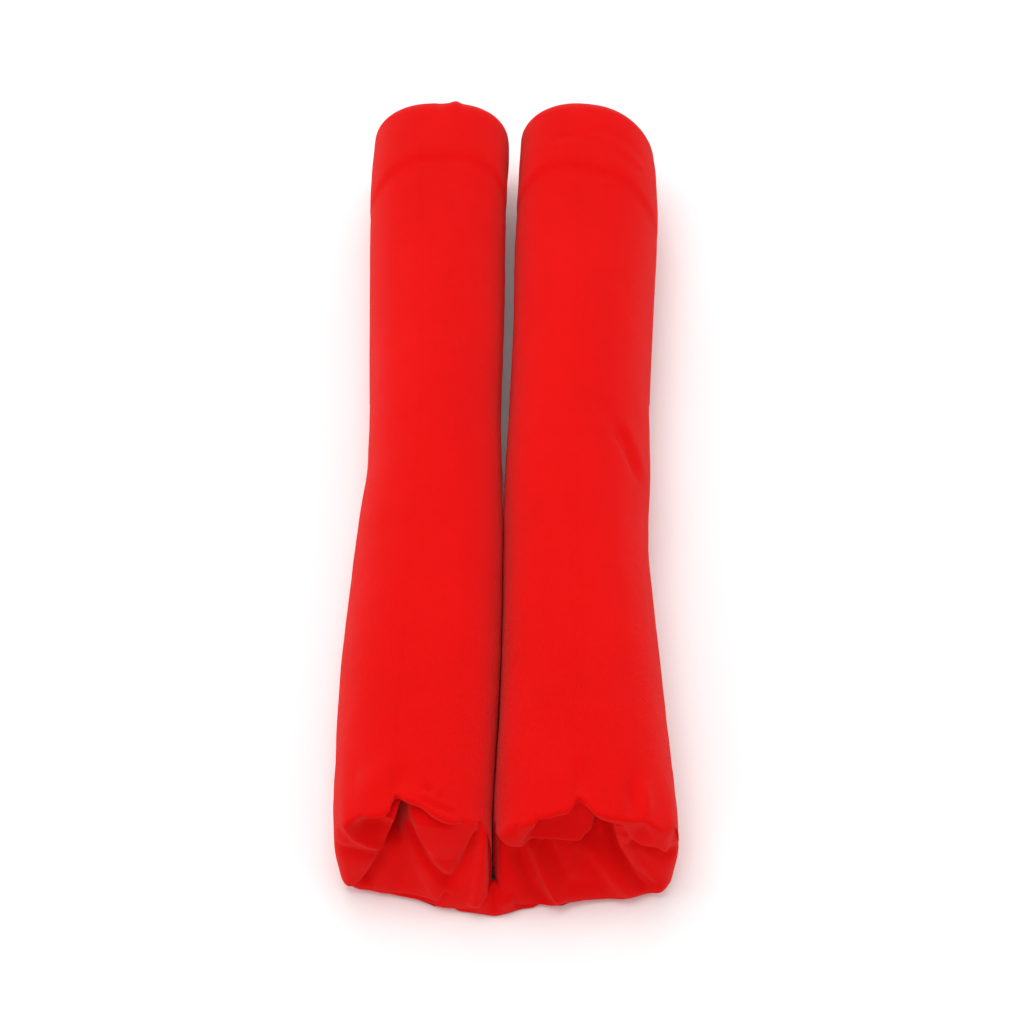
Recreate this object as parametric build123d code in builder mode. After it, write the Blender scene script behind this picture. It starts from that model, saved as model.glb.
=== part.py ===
"""A pair of wide cloth hand wraps, each rolled up tight, lying side by side and joined at one end.

The wraps lie along Y with their open ends towards -Y, on the plane z = 0.  Every roll is one cloth, held
here as four stretches that lie inside each other: outer, second, third and core turn.  A closure tab with
hook tape folds down the outer side of each roll, and the thumb loop is tucked in its core.
"""

from build123d import *
from math import cos, degrees, radians, sin
import os

# ---- driving dimensions, millimetres and degrees ----

roll_length = 296.0  # a roll from its open end to its closed end
lip_reach = 6.0  # how far the joining cloth stands out past the open ends
roll_height = 40.0
side_flat = 2.0  # the flat stretch up a roll's side, between its rounded corners
open_side_flat = 8.0  # the same at the open end, which spreads on the table
dome_radius = 11.0  # the rounding of the closed end
mouth_slant = 7.0  # how much further in the open end's top lies than its bottom, in degrees

open_width = {"left": 45.5, "right": 54.0}  # a roll's width at its open end
shoulder_width = {"left": 47.5, "right": 47.5}
waist_width = {"left": 42.0, "right": 44.4}
far_width = {"left": 45.0, "right": 44.7}  # at its closed end
shoulder_reach = 72.0  # from the open end to the shoulder, the waist and the far width
waist_reach = 152.0
far_reach = 276.0

seam_open, seam_shoulder, seam_waist, seam_far = -5.0, -2.2, -1.2, 1.85  # the line between the rolls, in x
touch_gap = 0.6  # the space between the rolls where they touch
waist_gap = 1.6  # and at the waist and the closed ends
far_gap = 4.1

outer_wall = 5.0  # the layers of the outer turn together
core_height = 11.4  # the second and third turns fill the space between the outer turn and the core
turn_gap = 0.3
least_rounding = 1.5  # of a turn's corners and closed end, however deep it lies
end_step = 2.5  # every turn starts this much further in than the one around it

tab_width = 62.0  # the closure tab, along the roll
tab_place = 205.0  # from the open end to the tab's middle
tab_thickness = 1.4
tab_angle = 48.0  # how far the tab wraps round the lower corner
tape_thickness = 1.0  # hook tape and loop tape
tape_width = 50.0  # along the roll
tape_start = 9.0  # where the tapes start and end on the corner
tape_end = 43.0
fit_gap = 0.3  # between the tab with its tape and what lies under them
side_gap = 0.6  # beside the tab and the tapes

thumb_loop_length = 42.0  # the thumb loop, folded flat in the core
thumb_loop_width = 7.0
webbing_thickness = 1.1
webbing_gap = 0.6  # between its two layers
pocket_gap = 0.35  # round it, in the core

stitch_length = 2.8
stitch_pitch = 4.4
stitch_width = 0.7
stitch_height = 0.35
tack_height = 0.2  # the flat stitches of the thumb loop's bar tack
tack_rows = 4
hem_margin = 2.6  # from a row of stitches to the edge that it holds

join_length = 44.0  # the joining cloth, along the rolls
join_height = 11.0
join_gap = 0.4  # between it and the rolls

# ---- sizes and places that follow from them ----

corner_radius = (roll_height - side_flat) / 2
open_corner_radius = (roll_height - open_side_flat) / 2
inner_wall = (roll_height / 2 - outer_wall - 3 * turn_gap - core_height / 2) / 2
tab_rise = side_flat / 2  # the tab's sewn end lies at the middle of the roll's side
open_y = lip_reach - (roll_length + lip_reach) / 2
lip_y = open_y - lip_reach
far_y = open_y + roll_length
mouth_setback = roll_height / 2 * sin(radians(mouth_slant))  # the slanted open end, at mid height
tab_start, tab_end = open_y + tab_place - tab_width / 2, open_y + tab_place + tab_width / 2
tape_inset = (tab_width - tape_width) / 2
hook_depth = tab_thickness + tape_thickness
loop_depth = hook_depth + fit_gap + tape_thickness
SIDES = {"left": -1, "right": 1}


def stations(side):
    """A roll's sections: place along Y, seam, space between the rolls there, width and corner radius."""
    return (
        (open_y, seam_open, touch_gap, open_width[side], open_corner_radius),
        (open_y + shoulder_reach, seam_shoulder, touch_gap, shoulder_width[side], corner_radius),
        (open_y + waist_reach, seam_waist, waist_gap, waist_width[side], corner_radius),
        (open_y + far_reach, seam_far, far_gap, far_width[side], corner_radius),
        (far_y, seam_far, far_gap, far_width[side], corner_radius),
    )


def section_at(side, y):
    """The inner edge, the outer edge and the corner radius of a roll at a place along it."""
    rows = stations(side)
    before, after = rows[0], rows[1]
    for first, second in zip(rows, rows[1:]):
        if y > first[0]:
            before, after = first, second
    share = (y - before[0]) / (after[0] - before[0])
    seam, gap, width, radius = (a + (b - a) * share for a, b in zip(before[1:], after[1:]))
    inner = seam + SIDES[side] * gap / 2
    return inner, inner + SIDES[side] * width, radius


def across(x, y, z):
    """A plane across the rolls, with its own x along X and its own y up."""
    return Plane((x, y, z), (1, 0, 0), (0, -1, 0))


def roll_form(side, depth, start, end):
    """A roll's closed form, depth inside its surface, from one place along it to another."""
    between = [row[0] for row in stations(side) if start + 1 < row[0] < end - 1]
    with BuildPart() as form:
        for y in (start, *between, end):
            inner, outer, radius = section_at(side, y)
            with BuildSketch(across((inner + outer) / 2, y, roll_height / 2)):
                rounding = max(radius - depth, least_rounding)
                RectangleRounded(abs(outer - inner) - 2 * depth, roll_height - 2 * depth, rounding)
        loft(ruled=True)
    return form.part


def closed_form(side, depth, start):
    """The form of a turn that is depth inside the roll, its far end domed and its open end slanted."""
    with BuildPart() as form:
        add(roll_form(side, depth, start - roll_height / 4, far_y - depth))
        fillet(form.faces().sort_by(Axis.Y)[-1].edges(), max(dome_radius - depth, least_rounding))
        slant = radians(mouth_slant)
        split(bisect_by=Plane((0, start, 0), (1, 0, 0), (0, cos(slant), -sin(slant))))
    return form.part


def corner_band(side, outside, inside, start, end, y0, y1, rise=0.0):
    """Part of a layer round a roll's lower outer corner, between two depths and two angles below level."""
    with BuildPart() as band:
        for y in (y0, y1):
            outer = section_at(side, y)[1]

            def at(depth, angle, lift=0.0):
                reach = corner_radius - depth
                return (SIDES[side] * reach * cos(radians(angle)), lift - reach * sin(radians(angle)))

            def arc(depth, first, last):
                ThreePointArc(at(depth, first), at(depth, (first + last) / 2), at(depth, last))

            with BuildSketch(across(outer - SIDES[side] * corner_radius, y, corner_radius)):
                with BuildLine():
                    arc(outside, start, end)
                    Line(at(outside, end), at(inside, end))
                    arc(inside, end, start)
                    if rise:
                        Line(at(inside, start), at(inside, start, rise))
                        Line(at(inside, start, rise), at(outside, start, rise))
                        Line(at(outside, start, rise), at(outside, start))
                    else:
                        Line(at(inside, start), at(outside, start))
                make_face()
        loft(ruled=True)
    return band.part


def save(part, label):
    part.label = label
    export_step(part, f"parts/{label}.step")


# ---- the turns of one roll, from the outside in ----


def make_outer_turn(side):
    cover = tab_rise + fit_gap
    with BuildPart() as outer_turn:
        add(closed_form(side, 0, open_y))
        add(roll_form(side, outer_wall, open_y - roll_height / 4, far_y - outer_wall), mode=Mode.SUBTRACT)
        # the seat that the closure tab lies in, and the deeper one for the tapes
        tab_seat = tab_thickness + fit_gap
        seat_end = tab_angle + degrees(side_gap / corner_radius)
        seat = (-1.0, tab_seat, 0, seat_end, tab_start - side_gap, tab_end + side_gap, cover)
        add(corner_band(side, *seat), mode=Mode.SUBTRACT)
        slack = degrees(side_gap / corner_radius)
        pocket = (tab_seat - 0.1, loop_depth, tape_start - slack, tape_end + slack)
        places = (tab_start + tape_inset - side_gap, tab_end - tape_inset + side_gap)
        add(corner_band(side, *pocket, *places), mode=Mode.SUBTRACT)
    save(outer_turn.part, f"{side}_outer_turn")


def make_inner_turn(side, name, depth, wall, start):
    with BuildPart() as turn:
        add(closed_form(side, depth, start))
        add(roll_form(side, depth + wall, start - roll_height / 4, far_y - depth - wall), mode=Mode.SUBTRACT)
    save(turn.part, f"{side}_{name}")


def make_core_turn(side, depth, start):
    """The tight middle of the roll, with the flat pocket that holds the thumb loop."""
    inner, outer, _ = section_at(side, start)
    pocket_height = 2 * webbing_thickness + webbing_gap + 2 * pocket_gap
    pocket_depth = mouth_setback + thumb_loop_length + pocket_gap
    with BuildPart() as core_turn:
        add(closed_form(side, depth, start))
        with BuildSketch(across((inner + outer) / 2, start - roll_height / 4, roll_height / 2)):
            RectangleRounded(thumb_loop_width + 2 * pocket_gap, pocket_height, pocket_height / 4)
        extrude(amount=-(roll_height / 4 + pocket_depth), mode=Mode.SUBTRACT)
    save(core_turn.part, f"{side}_core_turn")


# ---- the thumb loop and its bar tack ----


def make_thumb_loop(side, start):
    """Webbing folded back on itself, its fold towards the open end."""
    inner, outer, _ = section_at(side, start)
    middle = (inner + outer) / 2
    height = 2 * webbing_thickness + webbing_gap
    fold = height / 2
    long_run = thumb_loop_length - fold
    mouth = start + mouth_setback + fold
    with BuildPart() as thumb_loop:
        side_plane = Plane((middle - thumb_loop_width / 2, mouth, roll_height / 2), (0, 1, 0), (1, 0, 0))
        with BuildSketch(side_plane):
            for radius, mode in ((fold, Mode.ADD), (webbing_gap / 2, Mode.SUBTRACT)):
                Circle(radius, mode=mode)
                with Locations((long_run / 2, 0)):
                    Rectangle(long_run, 2 * radius, mode=mode)
        extrude(amount=thumb_loop_width)
    save(thumb_loop.part, f"{side}_thumb_loop")

    top = roll_height / 2 + fold + tack_height / 2
    with BuildPart() as tack:
        for row in range(tack_rows):
            y = mouth + long_run - hem_margin - row * 2 * stitch_width
            with Locations((middle, y, top)):
                Box(thumb_loop_width - 2, stitch_width, tack_height)
    save(tack.part, f"{side}_thumb_loop_tack")


# ---- the closure: a tab of doubled cloth with hook tape, and loop tape on the roll under it ----


def make_closure(side):
    tab = (0, tab_angle, tab_start, tab_end, tab_rise)
    save(corner_band(side, 0, tab_thickness, *tab), f"{side}_closure_tab")

    tape = (tape_start, tape_end, tab_start + tape_inset, tab_end - tape_inset)
    save(corner_band(side, tab_thickness, hook_depth, *tape), f"{side}_hook_patch")
    save(corner_band(side, loop_depth - tape_thickness, loop_depth, *tape), f"{side}_loop_patch")

    turn = degrees(stitch_width / corner_radius)
    margin = degrees(hem_margin / corner_radius)
    count = int((tab_width - 2 * hem_margin) / stitch_pitch)
    first = (tab_start + tab_end) / 2 - (count - 1) * stitch_pitch / 2 - stitch_length / 2
    rows = (margin / 2, tab_angle - margin)
    stitches = [
        corner_band(side, -stitch_height, 0, angle, angle + turn, y, y + stitch_length)
        for angle in rows
        for y in (first + n * stitch_pitch for n in range(count))
    ]
    with BuildPart() as tab_stitching:
        for stitch in stitches:
            add(stitch)
    save(tab_stitching.part, f"{side}_tab_stitching")


# ---- the cloth that joins the two wraps at their open ends ----


def make_joining_cloth():
    """Cloth that fills the hollow between the rolls' lower corners and stands out as a lip."""
    with BuildPart() as joining_cloth:
        with BuildSketch(Plane.XY):
            with Locations((seam_open, lip_y + join_length / 2)):
                RectangleRounded(2 * open_corner_radius, join_length, open_corner_radius / 4)
        extrude(amount=join_height)
        for side in SIDES:
            add(roll_form(side, -join_gap, lip_y - 1, lip_y + join_length + 1), mode=Mode.SUBTRACT)
    save(joining_cloth.part, "joining_cloth")


os.makedirs("parts", exist_ok=True)
for side in SIDES:
    second_depth = outer_wall + turn_gap
    third_depth = second_depth + inner_wall + turn_gap
    core_depth = third_depth + inner_wall + turn_gap
    make_outer_turn(side)
    make_inner_turn(side, "second_turn", second_depth, inner_wall, open_y + end_step)
    make_inner_turn(side, "third_turn", third_depth, inner_wall, open_y + 2 * end_step)
    make_core_turn(side, core_depth, open_y + 3 * end_step)
    make_thumb_loop(side, open_y + 3 * end_step)
    make_closure(side)
make_joining_cloth()
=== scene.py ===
"""The looks of a pair of rolled cloth hand wraps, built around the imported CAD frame.

Lengths in the shape code are millimetres in the frame's own axes, and become metres when a mesh is made.
The rolls lie along Y, open ends towards -Y.  A reach is how far a place lies from the open end.  A place
round a roll is an angle: 0 on its +X side, a quarter turn on top, half on its -X side, three quarters below.
"""

import math

import bmesh
import bpy
import numpy as np
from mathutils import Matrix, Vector, noise


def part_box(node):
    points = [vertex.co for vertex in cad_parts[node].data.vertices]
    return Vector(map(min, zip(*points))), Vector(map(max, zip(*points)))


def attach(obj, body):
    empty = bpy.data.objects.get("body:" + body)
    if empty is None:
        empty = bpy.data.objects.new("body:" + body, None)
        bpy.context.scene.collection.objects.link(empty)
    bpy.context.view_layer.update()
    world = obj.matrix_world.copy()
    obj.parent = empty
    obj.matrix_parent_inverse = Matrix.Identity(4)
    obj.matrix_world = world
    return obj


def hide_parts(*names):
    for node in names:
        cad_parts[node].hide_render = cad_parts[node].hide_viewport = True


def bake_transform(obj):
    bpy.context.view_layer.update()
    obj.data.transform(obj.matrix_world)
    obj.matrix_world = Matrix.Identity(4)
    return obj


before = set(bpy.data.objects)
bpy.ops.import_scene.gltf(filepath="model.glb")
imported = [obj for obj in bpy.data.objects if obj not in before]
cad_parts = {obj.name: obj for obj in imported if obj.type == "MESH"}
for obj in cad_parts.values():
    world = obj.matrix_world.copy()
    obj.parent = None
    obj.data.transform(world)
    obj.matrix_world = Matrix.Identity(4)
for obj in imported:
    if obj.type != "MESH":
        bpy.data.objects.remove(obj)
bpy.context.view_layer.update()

MM = 0.001
LEFT, RIGHT = "left", "right"
SIDES = (LEFT, RIGHT)


def node_box(name):
    """A CAD node's lowest and highest corner, in millimetres."""
    low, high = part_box(name)
    return np.array(low) / MM, np.array(high) / MM


open_y = node_box("left_outer_turn")[0][1]
far_y = node_box("left_outer_turn")[1][1]
lip_y = node_box("joining_cloth")[0][1]
roll_height = node_box("left_outer_turn")[1][2]
VIEW_SHIFT = 17.0  # the camera aims this much nearer than the middle of the rolls
middle_y = (lip_y + far_y) / 2 - VIEW_SHIFT

# ---- camera, light and floor ----

CAMERA_AIM = Vector((1.25, middle_y, roll_height / 2 + 1)) * MM
CAMERA_RISE = math.radians(50.0)
CAMERA_DISTANCE = 1.17
CAMERA_LENS = 133.2


def add_camera():
    bpy.ops.object.camera_add()
    camera = bpy.context.object
    back = Vector((0, -math.cos(CAMERA_RISE), math.sin(CAMERA_RISE)))
    camera.location = CAMERA_AIM + back * CAMERA_DISTANCE
    camera.rotation_euler = (math.pi / 2 - CAMERA_RISE, 0, 0)
    camera.data.lens = CAMERA_LENS
    camera.data.sensor_width = 36.0
    camera.data.clip_start = 0.01
    bpy.context.scene.camera = camera


def add_light(name, place, size, power):
    bpy.ops.object.light_add(type="AREA", location=place)
    light = bpy.context.object
    light.name = name
    light.data.shape = "RECTANGLE"
    light.data.size, light.data.size_y = size
    light.data.energy = power
    aim = Vector((0, 0, 0.02)) - light.location
    light.rotation_euler = aim.to_track_quat("-Z", "Y").to_euler()


def add_studio():
    bpy.ops.mesh.primitive_plane_add(size=6, location=(0, 0, 0))
    floor = bpy.context.object
    floor.name = "floor"
    paper = bpy.data.materials.new("pale_floor")
    paper.use_nodes = True
    shader = paper.node_tree.nodes["Principled BSDF"]
    shader.inputs["Base Color"].default_value = (0.92, 0.92, 0.92, 1)
    shader.inputs["Roughness"].default_value = 0.9
    floor.data.materials.append(paper)
    world = bpy.data.worlds.new("studio_air")
    world.use_nodes = True
    world.node_tree.nodes["Background"].inputs["Color"].default_value = (1, 1, 1, 1)
    world.node_tree.nodes["Background"].inputs["Strength"].default_value = 0.58
    bpy.context.scene.world = world
    add_light("key_light", (-0.15, 0.05, 1.3), (0.9, 0.9), 7.8)
    add_light("front_light", (-0.3, -1.0, 0.55), (0.7, 0.5), 2.4)
    add_light("left_light", (-1.0, 0.1, 0.45), (0.8, 0.5), 2.6)
    add_light("right_light", (1.0, 0.1, 0.45), (0.8, 0.5), 2.6)
    add_light("back_light", (0.0, 1.1, 0.6), (0.9, 0.5), 3.0)


# ---- shader maths ----


class Signal:
    """A shader socket that adds, multiplies and compares like a number."""

    def __init__(self, finish, socket):
        self.finish, self.socket = finish, socket

    def math(self, operation, *others):
        values = {n: v for n, v in enumerate((self, *others))}
        return self.finish.node("ShaderNodeMath", {"operation": operation}, values)

    def __add__(self, other):
        return self.math("ADD", other)

    def __sub__(self, other):
        return self.math("SUBTRACT", other)

    def __mul__(self, other):
        return self.math("MULTIPLY", other)

    def __rsub__(self, other):
        return (self * -1.0) + other

    __radd__, __rmul__ = __add__, __mul__


class Finish:
    """One material and the nodes that make it."""

    def __init__(self, name):
        self.material = bpy.data.materials.new(name)
        self.material.use_nodes = True
        self.tree = self.material.node_tree
        self.shader = self.tree.nodes["Principled BSDF"]

    def node(self, kind, settings=None, values=None, out=0):
        made = self.tree.nodes.new(kind)
        for key, value in (settings or {}).items():
            if key == "stops":
                for stop, (place, colour) in zip(made.color_ramp.elements, value):
                    stop.position, stop.color = place, colour
            else:
                setattr(made, key, value)
        for key, value in (values or {}).items():
            if isinstance(value, Signal):
                self.tree.links.new(value.socket, made.inputs[key])
            else:
                made.inputs[key].default_value = value
        return Signal(self, made.outputs[out])

    def feed(self, **sockets):
        """Sets or links the shader's own sockets: Base_Color=..., Roughness=..."""
        for key, value in sockets.items():
            socket = self.shader.inputs[key.replace("_", " ")]
            if isinstance(value, Signal):
                self.tree.links.new(value.socket, socket)
            else:
                socket.default_value = value

    def noise(self, vector, scale, detail=2.0, roughness=0.5):
        values = {"Vector": vector, "Scale": scale, "Detail": detail, "Roughness": roughness}
        return self.node("ShaderNodeTexNoise", {}, values)

    def blend(self, share, first, second):
        settings = {"data_type": "RGBA"}
        return self.node("ShaderNodeMix", settings, {0: share, 6: first, 7: second}, out=2)


THREAD_PITCH = 0.55 * MM


def cloth_finish(name, colour, deep, light, bump=0.34, sheen=0.1):
    """A fine plain weave: warp and weft bumps that wander, slubs, soft mottling and a pale fuzz."""
    finish = Finish(name)
    place = finish.node("ShaderNodeTexCoord", out="UV")
    parts = finish.tree.nodes.new("ShaderNodeSeparateXYZ")
    finish.tree.links.new(place.socket, parts.inputs[0])
    across, along = Signal(finish, parts.outputs[0]), Signal(finish, parts.outputs[1])
    wander = finish.noise(place, 90.0, 2.0) - 0.5
    turn = 2 * math.pi / THREAD_PITCH
    warp = ((across + wander * (0.6 * THREAD_PITCH)) * turn).math("SINE")
    weft = ((along + wander * (0.6 * THREAD_PITCH)) * turn).math("SINE")
    weave = warp * weft
    slub = finish.noise(place, 900.0, 3.0, 0.65)
    mottle = finish.noise(place, 24.0, 4.0, 0.6)
    cloud = finish.noise(place, 7.0, 2.0)
    tone = weave * 0.12 + slub * 0.5 + mottle * 0.6 + cloud * 0.35 - 0.22
    base = finish.blend(tone, deep, colour)
    fibre = finish.noise(place, 2600.0, 1.0)
    lint = (fibre.math("GREATER_THAN", 0.80)) * (mottle.math("GREATER_THAN", 0.60)) * 0.35
    base = finish.blend(lint, base, light)
    height = weave * 0.5 + slub * 0.9 + mottle * 0.6
    relief = finish.node(
        "ShaderNodeBump", {}, {"Strength": bump, "Distance": 0.0006, "Height": height}
    )
    finish.feed(Base_Color=base, Normal=relief, Roughness=slub * 0.12 + 0.74)
    finish.feed(Sheen_Weight=sheen, Sheen_Roughness=0.45, Sheen_Tint=(1.0, 0.55, 0.5, 1))
    finish.feed(Specular_IOR_Level=0.05)
    return finish.material


RED = (0.80, 0.0025, 0.0025, 1)
DEEP_RED = (0.60, 0.0008, 0.0008, 1)
LINT = (0.95, 0.42, 0.38, 1)

# ---- mesh helpers ----


def smooth(t):
    t = np.clip(t, 0.0, 1.0)
    return t * t * (3 - 2 * t)


def curve_through(points, at):
    """A smooth curve through (place, values...) points, at the given places."""
    table = np.array(points, float)
    x, y = table[:, 0], table[:, 1:]
    slope = np.gradient(y, x, axis=0)
    at = np.clip(np.asarray(at, float), x[0], x[-1])
    i = np.clip(np.searchsorted(x, at, side="right") - 1, 0, len(x) - 2)
    h = (x[i + 1] - x[i])[..., None]
    t = ((at - x[i])[..., None]) / h
    a, b, c, d = y[i], y[i + 1], slope[i], slope[i + 1]
    return (
        a * (2 * t**3 - 3 * t**2 + 1) + b * (3 * t**2 - 2 * t**3)
        + h * (c * (t**3 - 2 * t**2 + t) + d * (t**3 - t**2))
    )


def bump_at(x, z, cx, cz, sx, sz, turn=0.0):
    """A soft round bump of height 1 at a place, with its own width, length and turn in degrees."""
    c, s = math.cos(math.radians(turn)), math.sin(math.radians(turn))
    u, v = (x - cx) * c + (z - cz) * s, -(x - cx) * s + (z - cz) * c
    return np.exp(-((u / sx) ** 2) - (v / sz) ** 2)


def ripple(points, scale, seed):
    """Slow, seeded unevenness between about -1 and 1 at every point."""
    out = np.empty(len(points))
    for n, p in enumerate(points):
        out[n] = noise.noise(Vector((p[0] / scale + seed, p[1] / scale, p[2] / scale)))
    return out


def grid_mesh(name, points, finish, closed=False):
    """A mesh from rows of points, in millimetres, with a UV map that is in metres along the cloth."""
    rows, columns = points.shape[:2]
    flat = points.reshape(-1, 3) * MM
    wrap = columns if closed else columns - 1
    faces = []
    for r in range(rows - 1):
        for c in range(wrap):
            d = (c + 1) % columns
            here, above = r * columns, (r + 1) * columns
            faces.append((here + c, here + d, above + d, above + c))
    mesh = bpy.data.meshes.new(name)
    mesh.from_pydata([tuple(p) for p in flat], [], faces)
    along = np.zeros((rows, columns))
    along[1:] = np.cumsum(np.linalg.norm(np.diff(points, axis=0), axis=2), axis=0)
    ring = np.concatenate([points, points[:, :1]], axis=1) if closed else points
    across = np.zeros((rows, ring.shape[1]))
    across[:, 1:] = np.cumsum(np.linalg.norm(np.diff(ring, axis=1), axis=2), axis=1)
    widest = across[:, -1].argmax()
    across = np.tile(across[widest], (rows, 1))
    layer = mesh.uv_layers.new(name="cloth")
    uv = np.zeros((len(faces) * 4, 2))
    n = 0
    for r in range(rows - 1):
        for c in range(wrap):
            for rr, cc in ((r, c), (r, c + 1), (r + 1, c + 1), (r + 1, c)):
                uv[n] = across[rr, cc] * MM, along[rr, cc % columns] * MM
                n += 1
    layer.data.foreach_set("uv", uv.ravel())
    form = bmesh.new()
    form.from_mesh(mesh)
    bmesh.ops.remove_doubles(form, verts=form.verts, dist=0.0001 * MM)
    form.to_mesh(mesh)
    form.free()
    for polygon in mesh.polygons:
        polygon.use_smooth = True
    piece = bpy.data.objects.new(name, mesh)
    bpy.context.scene.collection.objects.link(piece)
    mesh.materials.append(finish)
    return piece


# ---- the rolls ----

ROLL_STATIONS = {
    # from the open end, inner edge, outer edge, height
    LEFT: (
        (-6, -4.6, -49.2, 38.4),
        (8, -4.5, -50.2, 38.8),
        (34, -3.4, -50.3, 39.6),
        (62, -2.3, -49.9, 40.0),
        (97, -1.8, -47.8, 40.2),
        (128, -1.6, -45.5, 40.3),
        (142, -1.7, -44.0, 40.3),
        (158, -2.2, -43.8, 40.2),
        (200, -1.6, -44.6, 39.8),
        (250, -0.8, -45.4, 39.6),
        (278, 0.1, -45.0, 40.0),
        (300, 0.8, -43.4, 39.9),
    ),
    RIGHT: (
        (-6, -4.2, 49.6, 38.2),
        (8, -4.1, 49.2, 38.8),
        (34, -3.2, 47.6, 39.8),
        (62, -2.1, 45.8, 40.2),
        (97, -1.6, 43.7, 40.4),
        (112, -1.5, 43.1, 40.4),
        (140, -1.0, 43.9, 40.4),
        (175, 0.6, 45.0, 40.2),
        (215, 1.9, 47.2, 40.0),
        (245, 2.6, 48.7, 39.8),
        (276, 4.0, 48.6, 40.1),
        (300, 5.2, 47.4, 40.2),
    ),
}
AROUND = 216
END_RINGS = 80
LAST_REACH = 285.0  # from the open end to where the closed end's rounding starts
CLOTH_THICK = 0.9
FAR_ROUND = 11.0
FACE_CENTRE = {LEFT: (-27.0, 17.0), RIGHT: (22.5, 17.0)}


def smooth_outline(points, steps=6):
    """A closed outline that runs smoothly through its points."""
    p = np.array(points, float)
    before, after, later = np.roll(p, 1, 0), np.roll(p, -1, 0), np.roll(p, -2, 0)
    out = []
    for t in np.linspace(0, 1, steps, endpoint=False):
        a = 2 * p + (after - before) * t + (2 * before - 5 * p + 4 * after - later) * t**2
        out.append(0.5 * (a + (3 * p - before - 3 * after + later) * t**3))
    return np.stack(out, axis=1).reshape(-1, 2)


def depth_inside(x, z, outline):
    """How far places lie inside a closed outline, negative outside it."""
    a, b = outline, np.roll(outline, -1, 0)
    px, pz = np.ravel(x)[:, None], np.ravel(z)[:, None]
    ex, ez = b[:, 0] - a[:, 0], b[:, 1] - a[:, 1]
    t = np.clip(((px - a[:, 0]) * ex + (pz - a[:, 1]) * ez) / (ex**2 + ez**2 + 1e-12), 0, 1)
    gap = np.hypot(px - a[:, 0] - t * ex, pz - a[:, 1] - t * ez).min(axis=1)
    crosses = (a[:, 1] > pz) != (b[:, 1] > pz)
    at = a[:, 0] + (pz - a[:, 1]) / np.where(ez == 0, 1e-9, ez) * ex
    inside = (crosses & (px < at)).sum(axis=1) % 2 == 1
    return np.where(inside, gap, -gap).reshape(np.shape(x))


def lay_over(face, x, z, outline, height, rim=0.9, soft=0.22):
    """Lays a cloth layer with a rounded edge over the end face.  Smaller heights stand further out."""
    depth = depth_inside(x, z, smooth_outline(outline))
    near = np.clip(rim - depth, 0, rim)
    layer = height + rim - np.sqrt(np.maximum(rim**2 - near**2, 0))
    share = smooth((depth + soft) / (2 * soft))
    return face + (np.minimum(face, layer) - face) * share


def ridge_line(x, z, points, width):
    """A soft ridge of height 1 along an open line."""
    p = np.array(points, float)
    best = np.full(np.shape(x), 1e9)
    for (x0, z0), (x1, z1) in zip(p, p[1:]):
        ex, ez = x1 - x0, z1 - z0
        t = np.clip(((x - x0) * ex + (z - z0) * ez) / (ex**2 + ez**2), 0, 1)
        best = np.minimum(best, np.hypot(x - x0 - t * ex, z - z0 - t * ez))
    return np.exp(-((best / width) ** 2))


FACE_LEAN = {
    LEFT: ((-2, 1.2), (1, 0.3), (4, 0.0), (12, 1.4), (20, 4.0), (28, 8.0), (34, 11.0), (42, 12.0)),
    RIGHT: ((-2, 1.2), (1, 0.3), (4, 0.1), (10, 2.0), (16, 6.2), (22, 10.6), (30, 14.5), (42, 15.5)),
}
FOOT_LINE = {
    LEFT: ((-52, -140.5), (-47, -143.4), (-44, -144.6), (-40.5, -144.8), (-35.5, -146), (-28.5, -146.3),
           (-26, -148.0), (-21.4, -150.6), (-16.8, -151), (-10.5, -151.8), (-6.6, -152.2), (-2, -152.4)),
    RIGHT: ((-6, -152.4), (-1, -151.6), (4.2, -150.2), (8.1, -149.8), (14.4, -150.4), (17.5, -150.2),
            (20.6, -148.2), (22.8, -147.2), (33, -147.9), (37, -147.0), (41, -146.0), (45, -146.4),
            (48, -144.5), (52, -140)),
}
RIM_LINE = {
    LEFT: ((-52, -137), (-47, -139.5), (-44, -142.6), (-41, -143.6), (-37.7, -143.8), (-35, -143.2),
           (-33.4, -141.6), (-32.6, -137.6), (-31, -137.2), (-29.2, -138.8), (-26.4, -139.8),
           (-24.4, -140.6), (-22, -142.9), (-19.4, -144.6), (-16.3, -145.4), (-13, -145.2),
           (-10, -144.0), (-6, -142.6), (-3, -138)),
    RIGHT: ((-6, -138), (-3, -142.4), (1.5, -143.8), (5.7, -144.3), (11, -144.1), (15.4, -142.8),
            (18.4, -141.4), (19.5, -138.2), (21, -138.2), (22.6, -140), (24, -142.6), (26.6, -144.1),
            (29.4, -144.8), (34, -145.4), (38, -145.8), (42, -145.8), (46, -145.0), (50, -139)),
}


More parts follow.
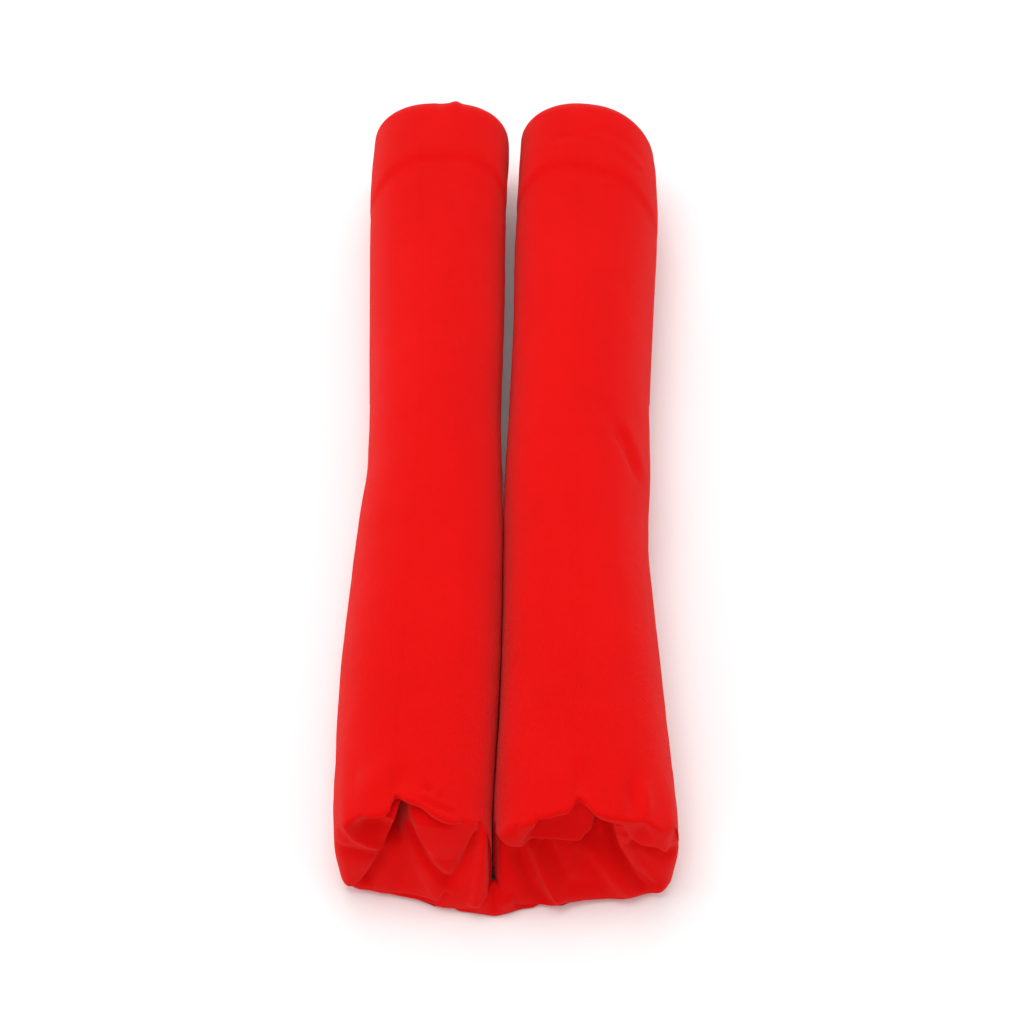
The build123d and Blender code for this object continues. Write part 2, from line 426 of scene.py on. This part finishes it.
def left_face(x, z):
    """How far out each place of the left roll's folded open end stands."""
    face = curve_through(FOOT_LINE[LEFT], x)[..., 0] + curve_through(FACE_LEAN[LEFT], z)[..., 0]
    face += 8.5 * ridge_line(x, z, ((-30.4, 38), (-30.8, 31), (-33.0, 24)), 2.1)
    face += 2.4 * ridge_line(x, z, ((-33.4, 25), (-37.0, 15), (-41, 7)), 1.8)
    face += 2.0 * ridge_line(x, z, ((-27.5, 26), (-22.5, 18), (-17.5, 12.5)), 1.6)
    face += 2.0 * ridge_line(x, z, ((-9.5, 28), (-12.5, 20), (-15.5, 14)), 1.8)
    face -= 1.5 * ridge_line(x, z, ((-7.0, 27), (-8.0, 17), (-9.4, 6)), 1.7)
    face += 5.0 * ridge_line(x, z, ((-4.2, 40), (-4.2, 22), (-4.0, 9)), 1.3)
    face += 1.1 * ridge_line(x, z, ((-27.5, 3.0), (-23.5, 2.2), (-20.0, 4.4), (-17.8, 8.5)), 0.8)
    side = -143.4 - 1.3 * smooth((12 - z) / 10) + 4.0 * bump_at(x, z, -38.0, 31.5, 5.2, 4.4, 14)
    ridge = ((-50, 41), (-47.6, 35.5), (-45.6, 30.6), (-43.4, 26.4), (-40.0, 23.8), (-35.4, 22.2))
    side = side - 1.5 * ridge_line(x, z, ridge, 1.5)
    side = side + 0.9 * ridge_line(x, z, ((-50, 22), (-44, 20.5), (-38, 18.6)), 1.7)
    side = side - 1.3 * bump_at(x, z, -44.0, 12.5, 7, 6.5)
    side = side + 3.0 * np.maximum(z - 34.0, 0) * smooth((x + 38) / 4)
    edge = ((-31.2, 40), (-31.4, 33), (-33.8, 26.4), (-36.2, 20.7), (-39.0, 13.0), (-42.0, 7.0), (-45.6, 2.2))
    face = lay_over(face, x, z, edge + ((-52, -6), (-62, 0), (-62, 20), (-58, 44)), side, rim=1.6)
    flap = ((-30.4, 44), (-29.3, 37), (-28.4, 32), (-25.9, 26.2), (-21.6, 20.2), (-18.6, 16.6), (-16.9, 15.3),
            (-15.2, 16.4), (-13.4, 20.6), (-10.6, 27), (-7.6, 33), (-4, 38.5), (-2, 44))
    height = -147.5 + (z - 15) * 0.16 + 0.02 * (x + 16.5) ** 2
    height = height + 1.6 * np.maximum(z - 33.0, 0) * smooth((-14 - x) / 6)
    height = height - 0.7 * bump_at(x, z, -18, 27, 5, 6)
    face = lay_over(face, x, z, flap, height, rim=1.3)
    rim = curve_through(RIM_LINE[LEFT], x)[..., 0]
    band = ((-45.6, 44), (-45.0, 38.6), (-43.4, 36.4), (-41, 35.8), (-37.7, 35.8), (-34.6, 36.0), (-33, 36.6),
            (-31, 36.8), (-28, 36.4), (-24, 36.0), (-20, 35.4), (-16.4, 35.0), (-13.4, 35.6), (-11.4, 38),
            (-10.6, 43), (-16, 47), (-30, 47), (-42, 47))
    return lay_over(face, x, z, band, rim, rim=1.3)


def right_face(x, z):
    """How far out each place of the right roll's folded open end stands."""
    face = curve_through(FOOT_LINE[RIGHT], x)[..., 0] + curve_through(FACE_LEAN[RIGHT], z)[..., 0]
    low_fade = smooth((z - 0.5) / 6)
    face -= 2.2 * low_fade * ridge_line(x, z, ((7.0, 20), (9.8, 14.0), (12.6, 9), (16.4, 3.0)), 1.3)
    face += 2.0 * ridge_line(x, z, ((3.4, 18), (6.2, 11), (10.0, 4.5)), 2.2)
    face += 2.2 * ridge_line(x, z, ((11.5, 20), (14.8, 13.6), (18.5, 8)), 1.9)
    face -= 1.5 * ridge_line(x, z, ((20.4, 20), (29.0, 12.6), (36.0, 4.6)), 2.3)
    face += 2.2 * ridge_line(x, z, ((27.4, 30), (28.8, 24), (31.5, 17), (38.5, 6)), 1.5)
    face += 5.0 * bump_at(x, z, 25.6, 32.0, 1.5, 4.0)
    face += 5.0 * ridge_line(x, z, ((-4.8, 40), (-4.2, 22), (-4.0, 9)), 1.3)
    side = -143.6 - 1.3 * smooth((12 - z) / 10) - 1.4 * bump_at(x, z, 44.5, 12, 6.5, 6.5)
    side = side + 1.6 * ridge_line(x, z, ((36.5, 24.5), (41, 21.6), (47, 20.0)), 1.7)
    side = side - 0.8 * ridge_line(x, z, ((33.5, 28), (35.6, 19), (40.6, 11), (44, 7)), 1.5)
    side = side + 2.0 * np.maximum(z - 33.0, 0)
    edge = ((29.0, 42), (29.6, 33), (30.8, 25.4), (32.7, 19.3), (37.0, 10.6), (41.6, 4.2), (46.0, -0.6))
    face = lay_over(face, x, z, edge + ((52, -6), (62, 0), (62, 20), (58, 44)), side, rim=1.5)
    lobe = ((-9, 44), (-9, 31), (-4.4, 30.6), (-3.4, 28.0), (-1.2, 25.4), (1.2, 24.0), (3.4, 23.5),
            (5.8, 23.4), (8.8, 23.2), (14, 22.9), (20.4, 22.6), (23.4, 25), (25.4, 29), (26, 44))
    band = -142.6 + np.maximum(z - 23, 0) * 0.42 + 0.5 * bump_at(x, z, 14, 29, 7, 4)
    round_part = -144.6 - 1.4 * bump_at(x, z, 1.0, 28.0, 4.6, 6.0) + 0.09 * np.maximum(z - 30, 0) ** 1.5
    share = smooth((x - 3.6) / 4.0)
    face = lay_over(face, x, z, lobe, round_part * (1 - share) + band * share, rim=1.8)
    tuck = ((3.6, 40), (3.0, 33), (3.9, 28.6), (4.6, 27.2), (5.7, 30.4), (8.6, 34.6), (7.6, 38), (5.6, 40))
    face = lay_over(face, x, z, tuck, -145.6 + 0.02 * (z - 30), rim=0.6)
    rim = curve_through(RIM_LINE[RIGHT], x)[..., 0] + 1.6 * bump_at(x, z, 38, 33, 3.0, 5.0)
    band = ((-12, 40), (-4, 38.8), (2, 37.4), (4.7, 36.4), (10.6, 35.8), (15, 36.0), (18.4, 36.4),
            (20.2, 37.0), (22.2, 36.8), (24.4, 35.8), (29.6, 35.0), (32.4, 34.2), (34.6, 29.8),
            (36.4, 26.6), (38.6, 24.9),
            (42.6, 24.0), (45.4, 20.8), (47.6, 24.6), (49, 29.5), (54, 31), (58, 46), (20, 48), (-12, 46))
    return lay_over(face, x, z, band, rim, rim=1.3)


END_FACE = {LEFT: left_face, RIGHT: right_face}


def section(side, reach, angle):
    """Places round a roll: rounded on top, squarer and flat underneath, squarest at the open end."""
    shape = curve_through(ROLL_STATIONS[side], reach)
    inner, outer, height = shape[..., 0], shape[..., 1], shape[..., 2]
    right_edge, left_edge = np.maximum(inner, outer), np.minimum(inner, outer)
    centre, half = (right_edge + left_edge) / 2, (right_edge - left_edge) / 2
    c, s = np.cos(angle), np.sin(angle)
    open_share = 1 - smooth(reach / 55)
    low = smooth(-s * 1.5)
    far_share = smooth((reach - 225) / 50)
    power_x = (0.93 - 0.16 * open_share - 0.15 * far_share) * (1 - low) + (0.70 - 0.32 * open_share) * low
    power_z = (0.95 - 0.17 * open_share - 0.13 * far_share) * (1 - low) + (0.64 - 0.27 * open_share) * low
    x = centre + half * np.sign(c) * np.abs(c) ** power_x
    z = height / 2 + (height / 2) * np.sign(s) * np.abs(s) ** power_z
    return x, z


def end_round(side, angle):
    """The radius at which a roll's side turns into its folded open end: tight on top, full at the sides."""
    c, s = np.cos(angle), np.sin(angle)
    outward = c if side == RIGHT else -c
    flank = smooth((outward - 0.55) / 0.4) * smooth((0.75 - s) / 0.4)
    under = smooth((-s - 0.35) / 0.4)
    inward = smooth((-outward - 0.6) / 0.35)
    return 1.1 + 2.5 * flank + 1.4 * under * (1 - flank) + 1.2 * inward * (1 - under)


def soften(rings, times=3):
    """Lets the folded end's layers run into each other a little, as thick soft cloth does."""
    y = rings[..., 1]
    for _ in range(times):
        y[2:-3] = (2 * y[2:-3] + np.roll(y, 1, 1)[2:-3] + np.roll(y, -1, 1)[2:-3] + y[1:-4] + y[3:-2]) / 6
    return list(rings)


def roll_points(side):
    """Every ring of a roll's cloth: in from the middle of the open end, along the roll, to the closed end."""
    angle = np.linspace(0, 2 * np.pi, AROUND, endpoint=False)
    start = np.full(AROUND, 1.0)
    radius = end_round(side, angle)
    # the face leans, so where the side starts is found by trying again from the last answer
    for _ in range(3):
        x, z = section(side, start, angle)
        inset_x, inset_z = FACE_CENTRE[side]
        reach = np.hypot(x - inset_x, z - inset_z)
        px, pz = x + (inset_x - x) * radius / reach, z + (inset_z - z) * radius / reach
        start = END_FACE[side](px, pz) + radius - open_y
    # the open end: rings from the middle out to the edge
    share = np.linspace(0, 1, END_RINGS) ** 0.85
    rings = []
    for k in share[:-1]:
        fx, fz = inset_x + (x - inset_x) * k, inset_z + (z - inset_z) * k
        inward = (1 - k) * reach
        near = np.clip(radius - inward, 0, radius)
        rounding = radius - np.sqrt(np.maximum(radius**2 - near**2, 0))
        fy = END_FACE[side](fx, fz) + rounding
        rings.append(np.stack([fx, fy, np.maximum(fz, 0.15)], axis=1))
    rings = soften(np.array(rings))
    # along the roll
    steps = np.concatenate([
        np.linspace(0, 18, 22),
        np.linspace(19, 50, 20),
        np.linspace(52, 246, 66),
        np.linspace(248, LAST_REACH, 22),
    ])
    for step in steps:
        along = start + (step - start * step / LAST_REACH)
        sx, sz = section(side, along, angle)
        rings.append(np.stack([sx, open_y + along, sz], axis=1))
    # the closed end
    edge = rings[-1]
    cx, cz = edge[:, 0].mean(), edge[:, 2].mean()
    span = np.hypot(edge[:, 0] - cx, edge[:, 2] - cz)
    for t in np.linspace(0, 1, 16)[1:]:
        turn = t * np.pi / 2
        inset = FAR_ROUND * (1 - np.cos(turn))
        k = 1 - inset / span
        y = open_y + LAST_REACH + FAR_ROUND * np.sin(turn)
        rings.append(np.stack(
            [cx + (edge[:, 0] - cx) * k, np.full(AROUND, y), cz + (edge[:, 2] - cz) * k], axis=1
        ))
    brim = rings[-1]
    for k in np.linspace(1, 0, 26)[1:]:
        pleat = np.abs(np.sin(angle * 4.5 + 1.2 * (1 - k))) ** 0.7
        tuck = 5.0 * (1 - k) ** 2.2 + 1.6 * pleat * k * (1 - k) * 2.2
        y = np.full(AROUND, far_y) - tuck
        rings.append(np.stack([cx + (brim[:, 0] - cx) * k, y, cz + (brim[:, 2] - cz) * k], axis=1))
    return np.array(rings)


TAB_SEAT = 2.7  # how deep the closure tab presses into the roll


def tab_window(side, x, y, z):
    """1 on the outer lower side of a roll where its closure tab lies, 0 elsewhere."""
    low, high = node_box(f"{side}_closure_tab")
    outer_side = x < low[0] + 12 if side == LEFT else x > high[0] - 12
    along = smooth((y - low[1] + 1.4) / 1.4) * smooth((high[1] + 1.4 - y) / 1.4)
    down = smooth((high[2] + 0.9 - z) / 1.0) * smooth((z - 2.4) / 1.8)
    return along * down * outer_side


def shape_roll(points, side):
    """Dents, wrinkles and slow unevenness over the whole roll."""
    p = points.copy()
    x, y, z = p[..., 0], p[..., 1], p[..., 2]
    inner, outer, height = np.moveaxis(curve_through(ROLL_STATIONS[side], y - open_y), -1, 0)
    centre = (inner + outer) / 2
    out_x, out_z = x - centre, z - height / 2
    length = np.hypot(out_x, out_z) + 1e-9
    body = smooth((y - open_y - 3) / 14) * (1 - smooth((y - far_y + 10) / 8))
    flat = p.reshape(-1, 3)
    slow = ripple(flat * np.array([1.6, 0.55, 1.6]), 26.0, 3.1 if side == LEFT else 8.7).reshape(x.shape)
    fine = ripple(flat * np.array([1.2, 1.0, 1.2]), 8.0, 5.3 if side == LEFT else 1.9).reshape(x.shape)
    push = body * (0.55 * slow + 0.14 * fine)
    top = smooth((z - height * 0.45) / 12)
    hem_y = far_y - (33 if side == LEFT else 38)
    hem_y += (x - centre) * (0.1 if side == LEFT else -0.25)
    hem_y -= 0.03 * np.maximum(np.abs(x - centre) - 6, 0) ** 2
    flank = smooth((np.abs(out_x) / (np.abs(outer - inner) / 2) - 0.7) / 0.25) * (out_x * (centre + 4) > 0)
    fold = ((-145, 33), (-139, 34), (-126, 33)) if side == LEFT else ((-145, 30), (-137, 31), (-122, 29))
    push += 1.1 * flank * ridge_line(y, z, fold, 3.0) * (1 - smooth((y + 142) / 22))
    push += 0.8 * smooth((y - hem_y) / 2.6) * top * (1 - smooth((y - far_y + 9) / 6))
    if side == LEFT:
        push -= top * 0.5 * ridge_line(x, y, ((-24.4, -138.6), (-20, -141), (-15.6, -142.2)), 0.75)
        push += top * 0.3 * ridge_line(x, y, ((-24.4, -136.9), (-20, -139.3), (-15.6, -140.6)), 0.8)
        push -= top * 0.9 * bump_at(x, y, -22.2, -134.8, 1.5, 1.2)
        push += top * 0.6 * bump_at(x, y, -20.4, -135.2, 1.0, 2.2)
        push -= top * 1.3 * bump_at(x, y, -31.5, -132, 2.4, 5.0)
        push += top * 0.8 * bump_at(x, y, -38, -131, 5.0, 6.0)
        push -= top * 0.6 * bump_at(x, y, -44, -126, 3.0, 7.0)
        push += top * 1.1 * bump_at(x, y, -17.6, 147, 1.6, 3.5)
        push -= top * 1.0 * bump_at(x, y, -22.6, 144, 0.9, 3.2)
    else:
        push -= top * 1.2 * ridge_line(x, y, ((34.4, 1), (37, -4.5), (39.4, -11)), 1.5)
        push -= top * 0.4 * ridge_line(x, y, ((28, 12), (31.5, 6), (35, 0)), 2.0)
        push += top * 0.5 * ridge_line(x, y, ((37, 4), (39.5, -2), (41.4, -9)), 2.0)
        push -= top * 1.4 * bump_at(x, y, 35.8, -137, 1.9, 6.0)
        push += top * 0.9 * bump_at(x, y, 39.4, -137, 1.8, 6.0)
        push -= top * 1.0 * bump_at(x, y, 20.6, -132, 2.6, 5.0)
        push += top * 0.5 * bump_at(x, y, 12, -131, 6.0, 7.0)
        long_wrinkle = ((15.8, 128), (25.5, 127), (31, 124.1), (36.5, 120.1), (43, 117))
        short_wrinkle = ((17.2, 125.3), (22.8, 125.8), (28.3, 124.6), (33.1, 122.1))
        push -= top * 0.40 * ridge_line(x, y, long_wrinkle, 1.1)
        push += top * 0.30 * ridge_line(x, y, short_wrinkle, 1.0)
        push -= top * 0.35 * ridge_line(x, y, ((28.4, 131.5), (37.4, 130), (43, 125.6)), 1.1)
    push -= TAB_SEAT * tab_window(side, x, y, z)
    p[..., 0] = x + out_x / length * push
    p[..., 2] = z + out_z / length * push
    if side == RIGHT:
        slope = smooth((y - far_y + 42) / 42) * (np.maximum(x - 20, 0) / 28) ** 2
        p[..., 1] = y - 8.5 * slope
        corner = smooth((y - far_y + 16) / 16) * np.maximum(8 - x, 0) / 8
        p[..., 1] -= 2.5 * corner**2
    p[..., 2] = np.maximum(p[..., 2], 0.12)
    return p


def inside_of(points):
    """The cloth's inner face, one thickness in, with fewer rings along the roll."""
    ring = np.arange(len(points))
    body_rings = ring[END_RINGS - 1:]
    keep = np.concatenate([ring[: END_RINGS - 1], body_rings[::5], ring[-1:]])
    inner = points.copy()
    centre = inner[END_RINGS:].mean(axis=(0, 1))
    share = smooth((ring - 0.9 * END_RINGS) / (0.1 * END_RINGS))[:, None]
    out_x, out_z = inner[..., 0] - centre[0], inner[..., 2] - centre[2]
    length = np.hypot(out_x, out_z) + 1e-6
    step = np.minimum(CLOTH_THICK * share, 0.5 * length)
    inner[..., 0] -= out_x / length * step
    inner[..., 2] -= out_z / length * step
    near, far = ring < END_RINGS + 4, ring > len(points) - 40
    inner[near, :, 1] += CLOTH_THICK
    inner[far, :, 1] -= CLOTH_THICK
    return inner[keep]


def make_roll(side, finish):
    points = shape_roll(roll_points(side), side)
    roll = grid_mesh(f"{side}_roll_cloth", points[::-1], finish, closed=True)
    lining = grid_mesh(f"{side}_roll_inside", inside_of(points), finish, closed=True)
    bpy.ops.object.select_all(action="DESELECT")
    lining.select_set(True)
    roll.select_set(True)
    bpy.context.view_layer.objects.active = roll
    bpy.ops.object.join()
    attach(roll, f"{side}_wrap")
    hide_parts(f"{side}_outer_turn")


# ---- the turns inside ----

TURN_PITCH = 0.7
TURN_COUNT = 21
TURN_STEPS = 48  # in one turn
TURN_HALF_THICK = 0.24
FIRST_TURN_DEPTH = 4.4  # how far the spiral starts below the outer turn's face
INSIDE_START, INSIDE_END = 24.0, 280.0


def make_inner_turns(side, finish):
    """The rest of the wrap's cloth, wound up inside the outer turn as one spiral."""
    reaches = np.linspace(INSIDE_START, INSIDE_END, 8)
    angle = np.linspace(0, 2 * np.pi * TURN_COUNT, TURN_STEPS * TURN_COUNT)
    rows = []
    for reach in reaches:
        x, z = section(side, np.full(angle.shape, reach), angle)
        inner, outer, height = curve_through(ROLL_STATIONS[side], reach)
        centre = (inner + outer) / 2
        share = 1 - (FIRST_TURN_DEPTH + TURN_PITCH * (angle[-1] - angle) / (2 * np.pi)) / (height / 2)
        rows.append(np.stack([
            centre + (x - centre) * share,
            np.full(angle.shape, open_y + reach),
            height / 2 + (z - height / 2) * share,
        ], axis=1))
    middle = np.array(rows)
    run = np.gradient(middle, axis=1)
    out = np.stack([run[..., 2], np.zeros_like(run[..., 0]), -run[..., 0]], axis=2)
    out *= TURN_HALF_THICK / (np.linalg.norm(out, axis=2, keepdims=True) + 1e-9)
    both = np.concatenate([middle + out, (middle - out)[:, ::-1]], axis=1)
    edges = np.concatenate([middle, middle[:, ::-1]], axis=1)
    both = np.concatenate([edges[:1], both, edges[-1:]])[::-1]
    turns_piece = grid_mesh(f"{side}_inner_turns", both, finish, closed=True)
    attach(turns_piece, f"{side}_wrap")
    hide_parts(f"{side}_second_turn", f"{side}_third_turn", f"{side}_core_turn")


# ---- the cloth that joins the rolls ----

LIP_LINE = ((-19, -149.6), (-15, -151.4), (-10.5, -152.2), (-6.6, -152.9), (-4.0, -153.3), (-0.6, -152.6),
            (4.2, -150.9), (8, -150.4), (12, -149.8))
CREASE_X = -4.1
LIP_START, LIP_END = -18.5, 11.5


def make_joining_cloth(finish):
    """A folded lip of cloth under the two open ends, which the crease between the rolls runs down into."""
    across = np.linspace(LIP_START, LIP_END, 72)
    lip = curve_through(LIP_LINE, across)[:, 0]
    end_fade = smooth((across - LIP_START) / 5) * smooth((LIP_END - across) / 5)
    top = 1.0 + 9.5 * end_fade - 0.5 * np.exp(-((across - CREASE_X) / 4.0) ** 2)
    up = np.linspace(0, 1, 16)
    thick = 0.25 + 0.75 * end_fade
    rows = []
    for x, edge, high, wall, fade in zip(across, lip, top, thick, end_fade):
        z = 0.35 + (high - 0.35) * up
        crease = math.exp(-((x - CREASE_X) / 1.5) ** 2)
        lean = 1.8 * (1 - fade) + 0.9 * np.exp(-z / 1.2) + 0.05 * z + 3.2 * smooth((z - 5.5) / 5)
        sides = 3.0 * smooth((abs(x - CREASE_X) - 4.5) / 5) * smooth((z - 1.0) / 4)
        y = edge + lean + sides + crease * 2.2 * smooth((z - 1.2) / 6)
        front = np.stack([np.full(z.shape, x), y, z], axis=1)
        back = front[::-1] + np.array([0, 1.4 * wall, 0.0])
        back[:, 2] = np.maximum(back[:, 2] - 0.2, 0.3)
        rows.append(np.concatenate([front, back]))
    tips = [np.tile(row.mean(axis=0), (len(row), 1)) for row in (rows[0], rows[-1])]
    rows = [tips[0], *rows, tips[1]]
    cloth = grid_mesh("joining_lip", np.array(rows)[::-1], finish, closed=True)
    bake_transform(cloth)
    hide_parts("joining_cloth")


# ---- the closures ----

TAB_DROP = 46.0
TAB_TUCK = {LEFT: 1.6, RIGHT: 2.8}  # how far the sewn end sinks into the roll
TAPE_DROPS = (9, 43)
TAPE_MARGIN = 6  # from the tape's ends to the tab's
STITCH_PITCH, END_STITCH_PITCH = 4.4, 7.0  # along the tab, and in degrees down its ends
STITCH_RADIUS = 0.36


def on_side(side, y, drop, lift):
    """A place on a roll's outer lower side: drop is in degrees below its widest line, lift is outwards."""
    reach = np.asarray(y, float) - open_y

    def at(turn):
        angle = np.radians(180 + turn if side == LEFT else -turn)
        return np.stack(np.broadcast_arrays(*section(side, reach, angle)), axis=-1)

    drop = np.asarray(drop, float)
    ahead, behind = at(drop + 1.0), at(np.maximum(drop - 1.0, 0.0))
    run = ahead - behind
    out = np.stack([-run[..., 1], run[..., 0]], axis=-1) * (-1 if side == LEFT else 1)
    out = out / (np.linalg.norm(out, axis=-1, keepdims=True) + 1e-9)
    here = at(drop) + out * np.asarray(lift)[..., None]
    return np.stack([here[..., 0], np.broadcast_to(y, here[..., 0].shape), here[..., 1]], axis=-1)


def side_patch(name, side, y_ends, drops, low, high, finish, corner=0.0, tuck=0.0):
    """A thin closed piece of tape or cloth that lies on the side of a roll, with soft edges."""
    edge_steps = np.array([0, 0.35, 1.0])
    first, last = y_ends
    between = np.linspace(first + 3, last - 3, 40)
    ys = np.concatenate([first + edge_steps, between, last - edge_steps[::-1]])
    rows = []
    for y in ys:
        inset = min(y - first, last - y)
        full = math.sqrt(max(1 - max(1 - inset, 0) ** 2, 0))
        cut = corner * max(1 - inset / 5.0, 0) ** 2
        drop = np.linspace(drops[0], drops[1] - cut, 26)
        from_edge = np.minimum(drop - drop[0], drop[-1] - drop) / 2.6
        round_edge = np.sqrt(np.clip(1 - np.clip(1 - from_edge, 0, 1) ** 2, 0, 1)) * full
        middle, half = (low + high) / 2, (high - low) / 2
        sink = tuck * np.clip(1 - (drop - drop[0]) / 3.5, 0, 1) ** 2
        outer = on_side(side, y, drop, middle + half * round_edge - sink)
        inner = on_side(side, y, drop, middle - half * round_edge - sink)
        rows.append(np.concatenate([outer, inner[::-1]]))
    rows = np.array(rows)
    return grid_mesh(name, rows if side == RIGHT else rows[::-1], finish, closed=True)


def make_stitches(name, side, y_ends, drops, lift, finish):
    """A line of stitches round the tab, just inside its edges."""
    y0, y1 = y_ends[0] + 3.0, y_ends[1] - 3.0
    d0, d1 = drops[0] + 12.0, drops[1] - 8.0
    runs = [(y, d, 0) for d in (d0, d1) for y in np.arange(y0 + 2.2, y1 - 1.4, STITCH_PITCH)]
    runs += [(y, d, 1) for y in (y0, y1) for d in np.arange(d0 + 4.5, d1 - 2.0, END_STITCH_PITCH)]
    mesh = bpy.data.meshes.new(name)
    form = bmesh.new()
    for y, d, turned in runs:
        ends = [on_side(side, y - 1.4, d, lift), on_side(side, y + 1.4, d, lift)]
        if turned:
            ends = [on_side(side, y, d - 3.0, lift), on_side(side, y, d + 3.0, lift)]
        a, b = (Vector(e) * MM for e in ends)
        made = bmesh.ops.create_uvsphere(form, u_segments=8, v_segments=6, radius=1.0)["verts"]
        axis = (b - a).normalized()
        spin = axis.to_track_quat("Z", "Y").to_matrix()
        for v in made:
            width = STITCH_RADIUS * MM
            thin = Vector((v.co.x * width, v.co.y * width, v.co.z * (b - a).length / 2))
            v.co = (a + b) / 2 + spin @ thin
    form.to_mesh(mesh)
    form.free()
    for polygon in mesh.polygons:
        polygon.use_smooth = True
    stitches = bpy.data.objects.new(name, mesh)
    bpy.context.scene.collection.objects.link(stitches)
    mesh.materials.append(finish)
    return stitches


def make_closure(side, cloth, thread, loop, hook):
    low, high = node_box(f"{side}_closure_tab")
    whole = (low[1], high[1])
    tape = (low[1] + TAPE_MARGIN, high[1] - TAPE_MARGIN)
    loops = side_patch(f"{side}_loop_tape", side, tape, TAPE_DROPS, -2.75, -2.15, loop)
    hooks = side_patch(f"{side}_hook_tape", side, tape, TAPE_DROPS, -2.05, -1.45, hook)
    tab = side_patch(
        f"{side}_tab_cloth", side, whole, (0, TAB_DROP), -1.4, 0.0, cloth, corner=4.0, tuck=TAB_TUCK[side]
    )
    stitches = make_stitches(f"{side}_tab_stitches", side, whole, (0, TAB_DROP), 0.02, thread)
    for piece, body, node, slot in (
        (loops, "wrap", "loop_patch", "loop_tape"), (hooks, "closure", "hook_patch", "hook_tape"),
        (tab, "closure", "closure_tab", "red_cloth"), (stitches, "closure", "tab_stitching", "thread"),
    ):
        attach(piece, f"{side}_{body}")
        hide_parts(f"{side}_{node}")


# ---- the finishes of the tapes, the webbing and the thread ----


def tape_finish(name, colour, deep, pitch, rough, strength):
    """Rows of small hooks or loops on a woven tape."""
    finish = Finish(name)
    place = finish.node("ShaderNodeTexCoord", out="UV")
    grown = finish.node(
        "ShaderNodeTexVoronoi", {"feature": "F1"}, {"Vector": place, "Scale": 1 / pitch, "Randomness": 0.35}
    )
    tuft = (1.0 - grown * 1.6).math("MAXIMUM", 0.0)
    worn = finish.noise(place, 60.0, 3.0)
    base = finish.blend(tuft * 0.7 + worn * 0.3, deep, colour)
    height = tuft + worn * 0.3
    relief = finish.node("ShaderNodeBump", {}, {"Strength": strength, "Distance": 0.0008, "Height": height})
    finish.feed(Base_Color=base, Normal=relief, Roughness=tuft * -0.15 + rough, Specular_IOR_Level=0.3)
    return finish.material


def ribbed_finish(name, colour, deep, pitch):
    """Narrow webbing and thread: ribs across, a twist along."""
    finish = Finish(name)
    place = finish.node("ShaderNodeTexCoord", out="Object")
    parts = finish.tree.nodes.new("ShaderNodeSeparateXYZ")
    finish.tree.links.new(place.socket, parts.inputs[0])
    along, across = Signal(finish, parts.outputs[1]), Signal(finish, parts.outputs[0])
    rib = ((along + across * 0.4) * (2 * math.pi / pitch)).math("SINE") * 0.5 + 0.5
    worn = finish.noise(place, 900.0, 3.0)
    base = finish.blend(rib * 0.6 + worn * 0.4, deep, colour)
    height = rib + worn * 0.4
    relief = finish.node("ShaderNodeBump", {}, {"Strength": 0.5, "Distance": 0.0003, "Height": height})
    finish.feed(Base_Color=base, Normal=relief, Roughness=worn * 0.15 + 0.5, Specular_IOR_Level=0.3)
    return finish.material


def set_node_finish(node, material):
    """Gives a CAD node that stays in view its material."""
    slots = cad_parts[node].material_slots
    for slot in slots:
        slot.material = material


# ---- everything together ----

bpy.context.scene.view_settings.view_transform = "Standard"
add_camera()
add_studio()
red_cloth = cloth_finish("red_cloth", RED, DEEP_RED, LINT)
thread = ribbed_finish("red_thread", (0.66, 0.012, 0.012, 1), (0.42, 0.004, 0.004, 1), 0.5 * MM)
webbing = ribbed_finish("red_webbing", (0.72, 0.012, 0.012, 1), (0.45, 0.004, 0.004, 1), 0.8 * MM)
loop_tape = tape_finish("loop_tape", (0.62, 0.012, 0.014, 1), (0.34, 0.004, 0.005, 1), 0.7 * MM, 0.9, 0.6)
hook_tape = tape_finish("hook_tape", (0.55, 0.012, 0.014, 1), (0.28, 0.004, 0.005, 1), 1.1 * MM, 0.6, 0.9)
for side in SIDES:
    make_roll(side, red_cloth)
    make_inner_turns(side, red_cloth)
    make_closure(side, red_cloth, thread, loop_tape, hook_tape)
    set_node_finish(f"{side}_thumb_loop", webbing)
    set_node_finish(f"{side}_thumb_loop_tack", thread)
make_joining_cloth(red_cloth)
